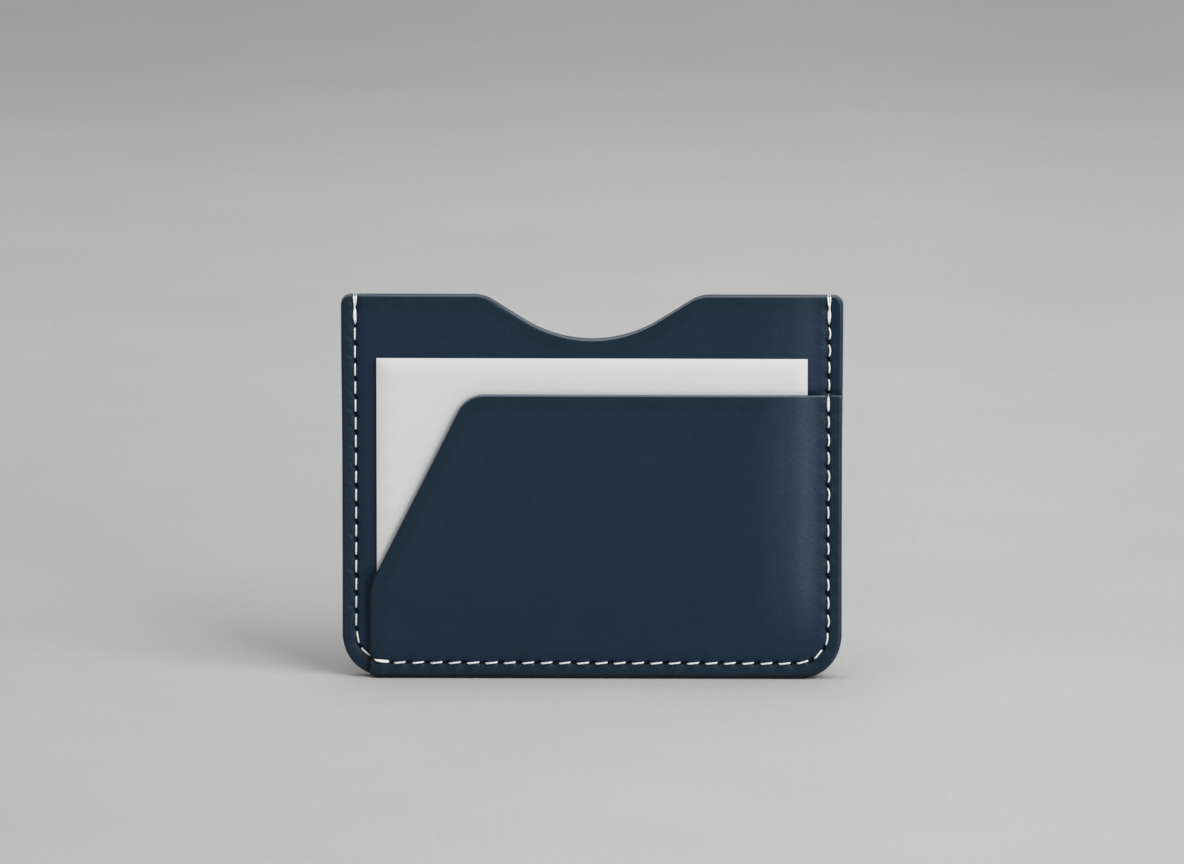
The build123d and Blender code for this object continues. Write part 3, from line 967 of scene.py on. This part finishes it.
def strand_tree(sizes):
    """The rule that leads one strand through every hole, in front of the case and behind it by turns."""
    tree, given = geometry_tree("Saddle-stitched strand", sizes)
    make = Wire(tree)
    holes, slit = holes_of(make, given)
    steps = given["Steps in a stitch"]
    line = make.node("GeometryNodeCurvePrimitiveLine", None, {"End": (1.0, 0.0, 0.0)})
    line = make.node(
        "GeometryNodeResampleCurve", None, {"Curve": line, "Count": given["Stitches"] * steps + 1}
    )
    index = make.node("GeometryNodeInputIndex") + 0.0
    stitch = (index / steps + 0.001).floor()
    share = index / steps - stitch
    share = share - 0.10 * (share * 2 * math.pi).sine()

    # Each stitch runs from one hole to the next, and leans across the seam by its two slits.
    place = make.node("GeometryNodeInputPosition")
    first = sampled(make, holes, place, stitch)
    first_slit = sampled(make, holes, slit, stitch)
    second = sampled(make, holes, place, stitch + 1)
    second_slit = sampled(make, holes, slit, stitch + 1)
    in_front = 1 - (stitch + given["Turn"]) % 2.0
    side = 2 * in_front - 1
    level = abs(make.vector("SUBTRACT", second, first).part("X"))
    level = level.ramp(given["Pitch"] * 0.2, given["Pitch"] * 0.8)
    lean = level.between(given["Side lean"], given["Bottom lean"]) * side * 0.5
    start = make.vector("ADD", first, make.scaled(first_slit, lean))
    end = make.vector("ADD", second, make.scaled(second_slit, -lean))
    run = make.vector("SUBTRACT", end, start)

    # The stitches that a turn doubles lie beside it. Those at the right bow, and those at the left taper.
    chance = chance_of(make, stitch + given["Seed"])
    doubled = 0.0
    for number in ("First stitch", "Last stitch", "Lower tack", "Upper tack"):
        doubled = abs(stitch - given[number]).ramp(0.6, 0.4) + doubled
    single = 1 - doubled
    half = given["Seam half width"]
    right = first.part("X").ramp(half * 0.97, half)
    left = first.part("X").ramp(half * -0.97, -half)
    pointed = left.between(1 - share, share).ramp(0.30, 0.90) * single
    bow = right.between(given["Bow"], given["Right bow"]) * (0.5 + chance) * single
    bow = bow - given["Tack bow"] * doubled
    across = (4 * share * (1 - share) - right * single * 0.55) * bow
    across = across + pointed * (1 - right) * given["Thread radius"] * 0.35
    spot = make.vector("ADD", start, make.scaled(run, share))
    spot = make.vector("ADD", spot, make.scaled(first_slit, across))

    # The thread lies on the leather, or behind it, and plunges into its hole at each end.
    on_pocket = stitch.above(given["Lower tack"] - 0.5) * (1 - stitch.above(given["Upper tack"] + 0.5))
    front_height = on_pocket.between(given["Centre height"], given["Pocket height"])
    surface = in_front.between(given["Rear height"], front_height)
    show = doubled.between(level.between(given["Side show"], given["Bottom show"]), given["Turn show"])
    ends = abs(share * 2 - 1) / (show * (0.96 + 0.08 * chance))
    plunge = given["Thread radius"] * 1.2 * ends**14.0
    height = surface - plunge.least(abs(surface - given["Middle height"])) * side
    line = moved(make, line, drawn_in(make, given, spot, given["Case depth"] / 2 - height))
    thickness = 1 - (0.38 + 0.20 * right) * ends.least(1.0) ** 3.0
    thickness = thickness * (1 - 0.45 * pointed) * (0.94 + 0.12 * chance)
    thickness = thickness * (1 + 0.2 * doubled) * (1 - 0.26 * right * single)
    line = make.node("GeometryNodeSetCurveRadius", None, {"Curve": line, "Radius": thickness})
    thread_tube(make, line, given)
    return tree


def sewn(name, node, start, tree, sizes):
    """A piece of thread that a tree makes, in place of a node of the plain model."""
    piece = made_by_tree(name, start, tree, sizes)
    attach(piece, "case")
    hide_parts(node)


def make_strand(name, node, turn, settings, guide, material):
    """One of the two strands of the seam."""
    case, seam = settings.case, settings.seam
    seam_line = SeamLine(settings)
    ply = case.leather + case.lining
    sizes = common_sizes(settings, material) | {
        "Holes": guide,
        "Stitches": seam_line.stitches,
        "Steps in a stitch": STITCH_STEPS,
        "Turn": turn,
        "Seed": 11.0 + turn,
        "Pitch": seam_line.length / seam_line.stitches,
        "Side lean": seam.side_lean,
        "Bottom lean": seam.bottom_lean,
        "Side show": seam.side_show,
        "Bottom show": seam.bottom_show,
        "Turn show": seam.turn_show,
        "Bow": 0.03 * MM,
        "Right bow": 0.52 * MM,
        "Tack bow": 0.14 * MM,
        "Thread radius": seam.thread / 2,
        "First stitch": 0,
        "Last stitch": seam_line.stitches - 1,
        "Lower tack": seam_line.lower_tack,
        "Upper tack": seam_line.upper_tack,
        "Rear height": seam.thread * REAR_LIFT,
        "Centre height": 2 * ply,
        "Pocket height": 3 * ply,
        "Middle height": ply,
    }
    start = linked(name + "_start", bpy.data.meshes.new(name + "_start"))
    sewn(name, node, start, strand_tree(sizes), sizes)


def turn_tree(sizes):
    """The rule that leads a closed turn of thread smoothly through its points."""
    tree, given = geometry_tree("Locking turn", sizes)
    make = Wire(tree)
    smooth = make.node(
        "GeometryNodeCurveSplineType", {"spline_type": "CATMULL_ROM"}, {"Curve": given["Geometry"]}
    )
    line = make.node(
        "GeometryNodeResampleCurve", {"mode": "LENGTH"}, {"Curve": smooth, "Length": given["Step"]}
    )
    place = make.node("GeometryNodeInputPosition")
    line = moved(make, line, drawn_in(make, given, place, place.part("Y")))
    thread_tube(make, line, given)
    return tree


def make_turns(name, node, loops, settings, material):
    """Closed turns of thread, each given by its points (x, z, height above the back, girth)."""
    curve = bpy.data.curves.new(name + "_line", "CURVE")
    curve.dimensions = "3D"
    for points in loops:
        spline = curve.splines.new("POLY")
        spline.points.add(len(points) - 1)
        for point, (x, z, height, girth) in zip(spline.points, points):
            point.co = (x, settings.case.depth / 2 - height, z, 1)
            point.radius = girth
        spline.use_cyclic_u = True
    sizes = common_sizes(settings, material) | {"Step": TURN_STEP, "Thread radius": settings.seam.thread / 2}
    sewn(name, node, linked(name + "_line", curve), turn_tree(sizes), sizes)


def turn_round_a_stitch(start, end, outwards, bow, front, rear, show):
    """Points of a turn that doubles one stitch: it bows away from the stitch between its two holes."""
    run = end - start
    sunk = (1 - show) / 2
    dip = -0.14 * MM
    middle = (front + rear) / 2
    shares = (
        (sunk, 0.0, dip, THIN),
        (0.5 - show / 4, 0.8, 0.0, 1.0),
        (0.5, 1.0, 0.04 * MM, 1.0),
        (0.5 + show / 4, 0.7, 0.0, 0.95),
        (1 - sunk, 0.0, dip, THIN),
    )

    def points(shares, face, way):
        return [
            (*(start + run * share + outwards * bow * out), face + lift * way, girth)
            for share, out, lift, girth in shares
        ]

    into, back_out = (*(start + run * 0.06), middle, THIN), (*(end - run * 0.06), middle, THIN)
    return [into, *points(shares, front, 1), back_out, *points(reversed(shares[:-1]), rear, -1)]


def turn_over_the_edge(foot, top, spread, front, rear, pinch=None):
    """Points of a turn from a hole up over the top edge and down behind the case.

    The turn spreads from the seam towards the top. Where it passes another hole on its way, it is pinched
    in to the seam there.
    """
    x, z = foot
    sunk = 0.50 * MM
    if pinch is None:
        climb = [(0.3, z + sunk, -0.08 * MM, 0.75)]
    else:
        climb = [
            (0.2, z + sunk * 1.5, -0.10 * MM, THIN),
            (0.95, z * 0.45 + pinch * 0.55, 0.05 * MM, 1.25),
            (0.35, pinch - sunk * 0.5, -0.04 * MM, 0.85),
            (0.35, pinch + sunk * 0.5, -0.08 * MM, 0.85),
        ]
    climb += [(0.80, (climb[-1][1] + top) / 2, 0.03 * MM, 1.5), (1.0, top - 0.30 * MM, 0.0, WIDE)]
    rise = [(x + spread * out, height, front + lift, girth) for out, height, lift, girth in climb]
    over = [(x + spread, top, face, WIDE) for face in (front - 0.45 * MM, rear + 0.45 * MM)]
    down = [(across, height, rear + front - face, girth) for across, height, face, girth in reversed(rise)]
    return [(x, z, (front + rear) / 2, THIN), *rise, *over, *down]


def locking_turns(settings):
    """Points of the turns that lock the seam at the top edges and at the pocket's edges."""
    case, seam = settings.case, settings.seam
    seam_line = SeamLine(settings)
    ply = case.leather + case.lining
    rear = seam.thread * REAR_LIFT
    top = case.height - seam.thread * 0.50
    last = seam_line.stitches
    apart = 0.22 * MM
    centres = [place for place, _ in seam_line.holes()]

    def over_the_edge(number, spread, pinch=None):
        return turn_over_the_edge(centres[number], top, spread, 2 * ply, rear, pinch)

    def doubling(number, out, bow):
        ends = centres[number : number + 2]
        return turn_round_a_stitch(*ends, out, bow, 3 * ply + 0.03 * MM, rear, seam.turn_show)

    return {
        "top_edge_loops_left": [
            over_the_edge(0, apart),
            over_the_edge(1, -apart, centres[0].y),
        ],
        "top_edge_loops_right": [
            over_the_edge(last, -apart),
            over_the_edge(last - 1, apart, centres[last].y),
        ],
        "pocket_tack_lower": [doubling(seam_line.lower_tack, Vector((0.0, -1.0)), 0.10 * MM)],
        "pocket_tack_upper": [doubling(seam_line.upper_tack, Vector((1.0, 0.0)), 0.09 * MM)],
    }


# ------------------------------------------------------------------------------- the card
def make_card(material):
    """The blank card: thin stock with soft cut edges and a slight bow across its width."""
    settle = 0.35 * MM
    softness = 0.06 * MM
    corner = 0.08 * MM
    width, thickness, height = (high - low for low, high in zip(card_low, card_high))
    corners = [(x * width, z * height, corner) for x, z in ((-0.5, 0), (0.5, 0), (0.5, 1), (-0.5, 1))]
    zones = [(3.0 * MM, lambda points: np.ones(len(points), bool))]
    mesh = flat_blank("card_blank", corners, CARD_RINGS, zones, CARD_STEP)
    count = len(mesh.vertices)
    places, face, reach = np.zeros(count * 3), np.zeros(count), np.zeros(count)
    mesh.vertices.foreach_get("co", places)
    mesh.attributes["face"].data.foreach_get("value", face)
    mesh.attributes["edge_distance"].data.foreach_get("value", reach)
    places = places.reshape(-1, 3)
    drop = softness - np.sqrt(np.maximum(softness**2 - np.maximum(softness - reach, 0) ** 2, 0))
    bow = 0.05 * MM * np.cos(places[:, 0] / width * math.pi) * np.cos(places[:, 2] / height * 2)
    side = np.where(face > 0.5, -1.0, 1.0)
    places[:, 1] = (card_low.y + card_high.y) / 2 + side * (thickness / 2 - drop) - bow
    places[:, 2] += card_low.z - settle
    mesh.vertices.foreach_set("co", places.ravel())
    mesh.materials.append(material)
    piece = smooth_shaded(linked("blank_card", mesh), 60)
    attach(piece, "card")
    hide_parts("business_card")


# ------------------------------------------------------------------------------- materials
def new_material(name):
    """An empty node material, a wire to build on, and the place on the object."""
    material = bpy.data.materials.new(name)
    material.use_nodes = True
    material.node_tree.nodes.clear()
    make = Wire(material.node_tree)
    return material, make, make.node("ShaderNodeTexCoord", output="Object")


def surfaced(material, make, values):
    """Gives a material its one surface, and returns it."""
    surface = make.node("ShaderNodeBsdfPrincipled", None, values)
    outlet = make.tree.nodes.new("ShaderNodeOutputMaterial")
    make.tree.links.new(surface.socket, outlet.inputs["Surface"])
    return material


def mesh_value(make, name, output="Fac"):
    """A value that the mesh keeps under a name."""
    return make.node("ShaderNodeAttribute", {"attribute_name": name}, output=output)


def bumped(make, height, depth, normal=None):
    """A bump whose full height is the depth, in metres."""
    values = {"Height": height, "Distance": depth, "Strength": 1.0}
    if normal is not None:
        values["Normal"] = normal
    return make.node("ShaderNodeBump", None, values, "Normal")


def leather_material(name, finish):
    """Smooth dyed leather: fine grain, paler where stretched, with painted highlights on the right-hand
    slopes, the puckers and the edges, painted shade at the holes, the crease line and the foot, painted
    shadow beside the pocket and the card, and painted edges.
    """
    material, make, place = new_material(name)
    names = ("edge_distance", "stretch", "pit", "fold", "tuck")
    reach, stretch, pit, fold, tuck = (mesh_value(make, kept) for kept in names)
    up = mesh_value(make, "edge_up").ramp(0.25, 0.9)
    right = mesh_value(make, "edge_right").ramp(0.3, 0.9)
    x, z = place.part("X"), place.part("Z")

    # The paint on the cut edges reaches further over the pocket's mouth, which widens the painted highlight
    # on its upward edge there. Just inside the paint, a darker line paints the shade of a crease that the
    # mesh doesn't have.
    by_mouth = z.ramp(62 * MM, 60 * MM)
    paint = (reach - up * by_mouth * 0.12 * MM).ramp(0.17 * MM, 0.09 * MM)
    crease = (reach - 0.24 * MM).hill(0.08 * MM)

    cloud = noise(make, place, 16 * MM, 4.0, 0.55)
    blotch = noise(make, place, 3.2 * MM, 3.0, 0.6)
    grain = noise(make, place, 0.42 * MM, 3.0, 0.6)
    hairs = noise(make, place, 0.44 * MM, 2.0, 0.5, (4.0, 1.0, 0.62), 44)
    strain = noise(make, place, 0.42 * MM, 2.0, 0.5, (4.0, 1.0, 0.8), 21)
    pores = make.node(
        "ShaderNodeTexVoronoi",
        {"feature": "SMOOTH_F1"},
        {"Vector": place, "Scale": 1 / (0.34 * MM), "Smoothness": 0.6},
        "Distance",
    )

    # Pull-up leather grows paler where it is stretched over the slopes, but here that paling is strongest at
    # the right, where it paints the highlight of the light from the right, and the puckers get painted
    # highlights too. The edges facing right and up get painted highlights, and painted shade darkens the
    # crease line, the pits and the foot.
    # Painted highlight: the stretched slopes and the puckers turn paler, most at the right side, where the
    # light from the right falls on them.
    painted_highlight_side = x.ramp(18 * MM, 36 * MM)
    near_top = z.ramp(70 * MM, 75 * MM)
    pale_and_painted_highlight = stretch * painted_highlight_side.between(0.25, 1.0) * (1 + strain.swing(1.0)) + fold * 0.55
    # Painted highlight: a paler line along the edges that face right, where the light from the right catches
    # them, stronger near the top.
    painted_rim_highlight = (reach - 0.42 * MM).hill(0.12 * MM) * right
    painted_rim_highlight = painted_rim_highlight * (0.55 + blotch.swing(0.8) + near_top * 0.6)
    # Painted shade: the leather and its painted edges darken towards the foot, where the case meets the
    # floor.
    foot = z.ramp(0.3 * MM, 1.3 * MM, 0.22, 1.0) * z.ramp(1.0 * MM, 9.0 * MM, 0.88, 1.0)
    # Painted highlight on the upward-facing edges, weaker along the case's top edge and most at the left.
    crown = 1 - z.ramp(73 * MM, 75 * MM) * x.ramp(-38 * MM, 38 * MM, 0.62, 0.30)
    shade = 1 + cloud.swing(0.34) + blotch.swing(0.26) + grain.swing(0.42) + hairs.swing(0.46)
    # Painted shade darkens the pits at the holes and the crease line; the painted highlight on right-facing
    # edges and the foot's painted shade are applied here too.
    shade = shade * (1 - 0.28 * crease) * (1 - 0.54 * pit) * (1 + 0.6 * painted_rim_highlight) * foot
    dyed = reach.ramp(3.4 * MM, 2.4 * MM).mix_colour(finish.leather, finish.margin)
    dyed = (pale_and_painted_highlight + painted_rim_highlight * 1.7).mix_colour(dyed, finish.stretched)
    # Painted shadow: the leather turns to the shaded colour beside the pocket's edge, beside the card and
    # over the mouth.
    dyed = make.scaled(tuck.mix_colour(dyed, finish.shaded), shade)
    # The painted edges turn paler where they face up, a painted highlight of the top light, and darker at the
    # foot, painted shade.
    painted = make.scaled((up * crown).mix_colour(finish.edge, finish.painted_edge_highlight), foot * foot)

    # The relief is fine skin, strain lines between the swell and the seam, and wide soft unevenness.
    skin = grain * 0.45 + pores * 0.4 + hairs * 0.35
    seam_near = x.ramp(31 * MM, 39 * MM) * z.ramp(2 * MM, 10 * MM) * (1 - x.ramp(45.2 * MM, 46.4 * MM))
    bump = bumped(make, skin * (1 - paint), 0.016 * MM)
    bump = bumped(make, strain * seam_near, 0.05 * MM, bump)
    bump = bumped(make, cloud + blotch * 0.3, 0.06 * MM, bump)
    surface = {
        "Base Color": paint.mix_colour(dyed, painted),
        "Roughness": paint.between(0.44 + grain.swing(0.12) + cloud.swing(0.10), 0.32),
        "Normal": bump,
        "Specular IOR Level": 0.22,
        "Coat Weight": paint * up.most(right) * crown,
        "Coat Roughness": 0.22,
    }
    return surfaced(material, make, surface)


def lining_material(name, tint, edge_tint):
    """Thin matt lining leather with a short nap, and the same painted edge."""
    material, make, place = new_material(name)
    paint = mesh_value(make, "edge_distance").ramp(0.20 * MM, 0.12 * MM)
    nap = noise(make, place, 0.3 * MM, 4.0, 0.65)
    cloud = noise(make, place, 9 * MM, 3.0)
    dyed = make.scaled(tuple(tint), 1 + nap.swing(0.5) + cloud.swing(0.3))
    surface = {
        "Base Color": paint.mix_colour(dyed, edge_tint),
        "Roughness": paint.between(0.85, 0.36),
        "Normal": bumped(make, nap * (1 - paint), 0.02 * MM),
    }
    return surfaced(material, make, surface)


def thread_material(name, tint):
    """Waxed thread twisted from three plies, with painted shade in the grooves between them."""
    material, make, place = new_material(name)
    around = mesh_value(make, "thread_around", "Vector")
    along = mesh_value(make, "thread_along")
    plies = 3.0
    lay = 1.9 * MM
    turn = make.math("ARCTAN2", around.part("Y"), around.part("X"))
    crest = abs((turn * (plies / 2) + along * (math.pi * plies / lay)).sine())
    ply = crest.ramp(0.0, 0.75)
    fibre = noise(make, place, 0.12 * MM, 2.0)
    surface = {
        # Painted shade: the colour darkens in the grooves between the plies.
        "Base Color": make.scaled(tuple(tint), 0.90 + ply * 0.10 + fibre.swing(0.06)),
        "Roughness": 0.48 + fibre * 0.1,
        "Normal": bumped(make, ply + fibre * 0.15, 0.045 * MM),
    }
    return surfaced(material, make, surface)


def card_material(name, tint):
    """Uncoated white card stock with a faint tooth and fibres."""
    material, make, place = new_material(name)
    tooth = noise(make, place, 0.18 * MM, 3.0, 0.6)
    cloud = noise(make, place, 14 * MM, 2.0)
    fibres = noise(make, place, 0.5 * MM, 2.0, 0.5, (3.3, 1.0, 1.0), 20)
    shade = 1 + tooth.swing(0.03) + cloud.swing(0.03) + fibres.swing(0.02)
    surface = {
        "Base Color": make.scaled(tuple(tint), shade),
        "Roughness": 0.72 + tooth * 0.1,
        "Normal": bumped(make, tooth * 0.6 + fibres * 0.4, 0.006 * MM),
    }
    return surfaced(material, make, surface)


def floor_material(name, tint):
    """Seamless grey studio paper with a faint mottle, and painted light and shade: a little brighter behind
    the case, darker towards the camera, the sides and further back, and much brighter on the backdrop far
    behind.
    """
    material, make, place = new_material(name)
    x, y = place.part("X"), place.part("Y")
    cloud = noise(make, place, 60 * MM, 4.0, 0.55)
    fleck = noise(make, place, 1.6 * MM, 3.0, 0.6)
    # Painted light and shade on the floor and backdrop: a little brighter behind the case, darker towards the
    # camera, to the left and right and further back, and much brighter far behind, where the top edges
    # reflect it.
    depth = y.ramp(0.05, 0.40, 1.0, 1.09) * y.ramp(0.55, 0.85, 1.0, 0.85) * y.ramp(0.95, 1.5, 1.0, 1.9)
    depth = depth * x.ramp(0.06, 0.13, 1.0, 0.967) * y.ramp(-0.20, -0.02, 0.95, 1.0)
    depth = depth * x.ramp(-0.13, 0.0, 0.93, 0.993)
    tinted = make.scaled(tuple(tint), depth * (1 + cloud.swing(0.10) + fleck.swing(0.14)))
    return surfaced(material, make, {"Base Color": tinted, "Roughness": 0.85})


# ------------------------------------------------------------------------------- the studio
def make_floor(material):
    """A floor that sweeps up behind the case into a backdrop."""
    near, bend_start, bend, top, wide = -4.0, 1.6, 0.9, 4.0, 4.0
    steps = 24
    section = [(near, 0.0), (bend_start, 0.0)]
    for step in range(1, steps + 1):
        turn = math.pi / 2 * step / steps
        section.append((bend_start + bend * math.sin(turn), bend * (1 - math.cos(turn))))
    section.append((bend_start + bend, top))
    points = [(x, y, z) for y, z in section for x in (-wide, wide)]
    faces = [(2 * i, 2 * i + 1, 2 * i + 3, 2 * i + 2) for i in range(len(section) - 1)]
    mesh = bpy.data.meshes.new("studio_floor")
    mesh.from_pydata(points, [], faces)
    mesh.materials.append(material)
    mesh.shade_smooth()
    floor = linked("studio_floor", mesh)


def make_lamp(name, place, size, watts):
    """A soft rectangular lamp that faces the case."""
    lamp = bpy.data.lights.new(name, "AREA")
    lamp.shape = "RECTANGLE"
    lamp.size, lamp.size_y = size
    lamp.energy = watts
    made = linked(name, lamp)
    made.location = place
    made.rotation_euler = (Vector(LAMP_TARGET) - Vector(place)).to_track_quat("-Z", "Y").to_euler()


def make_camera(studio):
    """A long lens a little above the case, aimed over its middle."""
    azimuth, elevation, distance = studio.azimuth, studio.elevation, studio.distance
    level = math.cos(elevation)
    way = Vector((math.sin(azimuth) * level, -math.cos(azimuth) * level, math.sin(elevation)))
    camera = bpy.data.cameras.new("camera")
    camera.sensor_width = SENSOR_WIDTH
    camera.lens = SENSOR_WIDTH * distance / VIEW_WIDTH
    camera.clip_end = 50.0
    made = linked("camera", camera)
    made.location = Vector((0.0, 0.0, studio.aim)) + way * distance
    made.rotation_euler = (-way).to_track_quat("-Z", "Y").to_euler()
    bpy.context.scene.camera = made


def make_sky(strength):
    """Even white light from all round."""
    world = bpy.data.worlds.new("studio_sky")
    world.use_nodes = True
    world.node_tree.nodes.clear()
    make = Wire(world.node_tree)
    light = make.node("ShaderNodeBackground", None, {"Color": (1.0, 1.0, 1.0, 1.0), "Strength": strength})
    outlet = world.node_tree.nodes.new("ShaderNodeOutputWorld")
    world.node_tree.links.new(light.socket, outlet.inputs["Surface"])
    bpy.context.scene.world = world


# ------------------------------------------------------------------------------- operators
class CARDCASE_OT_leather_panels(bpy.types.Operator):
    """Form the back, centre and pocket panels from outer leather"""

    bl_idname = "card_case.leather_panels"
    bl_label = "Leather Panels"
    bl_options = {"REGISTER", "UNDO"}

    def execute(self, context):
        settings = context.scene.card_case
        drifts = {
            "back_panel": (0.3, 0.1, 0.2),
            "centre_panel": (1.7, 0.5, 0.9),
            "pocket_panel": (2.9, 0.7, 1.6),
        }
        make_layers(settings, leather_material("navy_leather", settings.finish), drifts)
        return {"FINISHED"}


class CARDCASE_OT_linings(bpy.types.Operator):
    """Form the thin linings bonded behind each outer leather"""

    bl_idname = "card_case.linings"
    bl_label = "Linings"
    bl_options = {"REGISTER", "UNDO"}

    def execute(self, context):
        settings = context.scene.card_case
        lining = lining_material("navy_lining", settings.finish.lining, settings.finish.edge)
        drifts = dict.fromkeys(("back_lining", "centre_lining", "pocket_lining"), (0.0, 0.0, 0.0))
        make_layers(settings, lining, drifts)
        return {"FINISHED"}


class CARDCASE_OT_seam_thread(bpy.types.Operator):
    """Sew the two strands of the saddle-stitched seam"""

    bl_idname = "card_case.seam_thread"
    bl_label = "Seam Thread"
    bl_options = {"REGISTER", "UNDO"}

    def execute(self, context):
        settings = context.scene.card_case
        thread = thread_material("waxed_thread", settings.finish.thread)
        guide = SeamLine(settings).guide()
        make_strand("first_strand", "seam_thread_first_strand", 0, settings, guide, thread)
        make_strand("second_strand", "seam_thread_second_strand", 1, settings, guide, thread)
        bpy.data.objects.remove(guide)
        return {"FINISHED"}


class CARDCASE_OT_locking_turns(bpy.types.Operator):
    """Wrap the turns of thread that lock the seam's ends and the pocket's edges"""

    bl_idname = "card_case.locking_turns"
    bl_label = "Locking Turns"
    bl_options = {"REGISTER", "UNDO"}

    def execute(self, context):
        settings = context.scene.card_case
        thread = thread_material("waxed_thread_turns", settings.finish.thread)
        for node, loops in locking_turns(settings).items():
            make_turns(node + "_thread", node, loops, settings, thread)
        return {"FINISHED"}


class CARDCASE_OT_business_card(bpy.types.Operator):
    """Put a blank card in the front pocket"""

    bl_idname = "card_case.business_card"
    bl_label = "Blank Card"
    bl_options = {"REGISTER", "UNDO"}

    def execute(self, context):
        make_card(card_material("white_card", context.scene.card_case.finish.card))
        return {"FINISHED"}


class CARDCASE_OT_studio(bpy.types.Operator):
    """Set up the floor, lamps, sky and camera"""

    bl_idname = "card_case.studio"
    bl_label = "Studio"
    bl_options = {"REGISTER", "UNDO"}

    def execute(self, context):
        settings = context.scene.card_case
        studio = settings.studio
        make_floor(floor_material("studio_paper", settings.finish.floor))
        make_lamp("key_lamp", (0.92, -0.82, 1.20), (1.1, 1.1), studio.key_power)
        make_lamp("side_lamp", (0.74, -1.28, 0.29), (0.35, 0.5), studio.side_power)
        make_lamp("top_lamp", (-0.1, -0.1, 2.0), (1.2, 1.2), studio.top_power)
        make_sky(studio.sky)
        make_camera(studio)
        context.scene.view_settings.view_transform = "Standard"
        return {"FINISHED"}


class CARDCASE_PT_panel(bpy.types.Panel):
    """Lists the pieces of the card case and their settings"""

    bl_idname = "CARDCASE_PT_panel"
    bl_label = "Card Case"
    bl_space_type = "VIEW_3D"
    bl_region_type = "UI"
    bl_category = "Card Case"

    def draw(self, context):
        settings = context.scene.card_case
        for group in (settings.case, settings.pocket, settings.seam, settings.finish, settings.studio):
            box = self.layout.box()
            for name in group.__annotations__:
                box.prop(group, name)
        for operator in OPERATORS:
            self.layout.operator(operator.bl_idname)


GROUPS = (CaseSizes, PocketSizes, SeamSizes, Finishes, StudioSettings, CardCase)
OPERATORS = (
    CARDCASE_OT_leather_panels,
    CARDCASE_OT_linings,
    CARDCASE_OT_seam_thread,
    CARDCASE_OT_locking_turns,
    CARDCASE_OT_business_card,
    CARDCASE_OT_studio,
)


def register():
    for group in GROUPS:
        bpy.utils.register_class(group)
    for operator in OPERATORS:
        bpy.utils.register_class(operator)
    bpy.utils.register_class(CARDCASE_PT_panel)
    bpy.types.Scene.card_case = PointerProperty(type=CardCase)


def unregister():
    del bpy.types.Scene.card_case
    bpy.utils.unregister_class(CARDCASE_PT_panel)
    for made in reversed(GROUPS + OPERATORS):
        bpy.utils.unregister_class(made)


def main():
    """Makes every piece and the studio."""
    register()
    bpy.ops.card_case.leather_panels()
    bpy.ops.card_case.linings()
    bpy.ops.card_case.seam_thread()
    bpy.ops.card_case.locking_turns()
    bpy.ops.card_case.business_card()
    bpy.ops.card_case.studio()
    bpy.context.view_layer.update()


if __name__ == "__main__":
    main()
